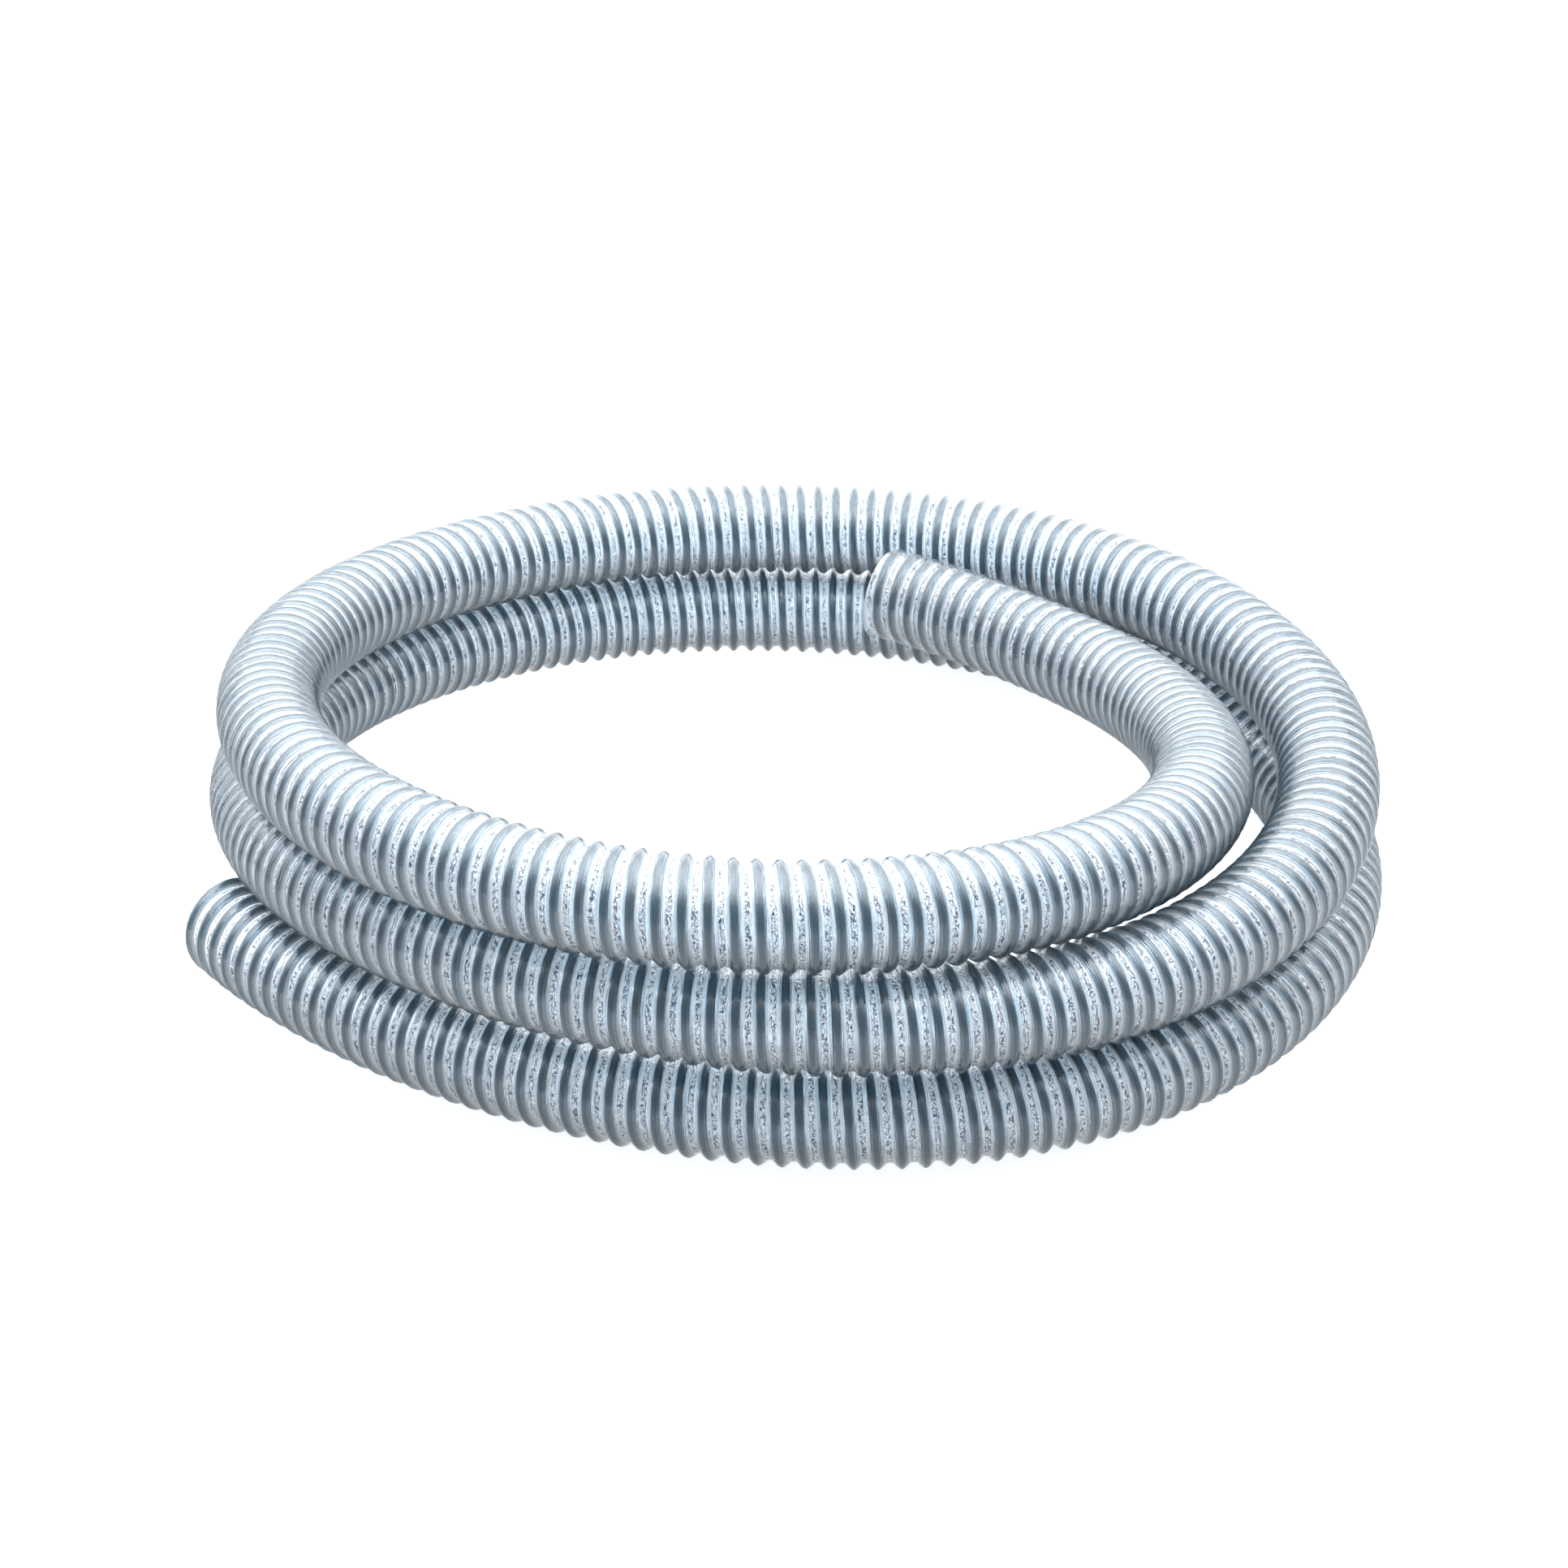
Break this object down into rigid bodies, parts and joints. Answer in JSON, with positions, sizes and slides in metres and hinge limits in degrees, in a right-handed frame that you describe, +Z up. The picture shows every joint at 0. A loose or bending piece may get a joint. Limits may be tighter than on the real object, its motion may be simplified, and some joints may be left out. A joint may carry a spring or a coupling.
{
  "type": "pool vacuum hose",
  "caption": "Coiled length of clear flexible suction hose with a rigid spiral rib and plain cut ends, for a pool vacuum head.",
  "frame": {"origin": "on the floor, under the middle of the coil's box", "axes": "+Z up, across the coil's flat face; +X along the coil's widest direction; the coil winds counter-clockwise about +Z from its floor end at -X to its inner end at +Y"},
  "size_m": [0.5423, 0.5186, 0.1497],
  "materials": {
    "clear_pvc": "glossy, translucent, lightly crinkled between the ribs",
    "smoky_rigid_pvc": "glossy, smoky slate"
  },
  "bodies": {
    "root": {"clear_wall": "clear_pvc", "spiral_rib": "smoky_rigid_pvc"}
  },
  "joints": []
}
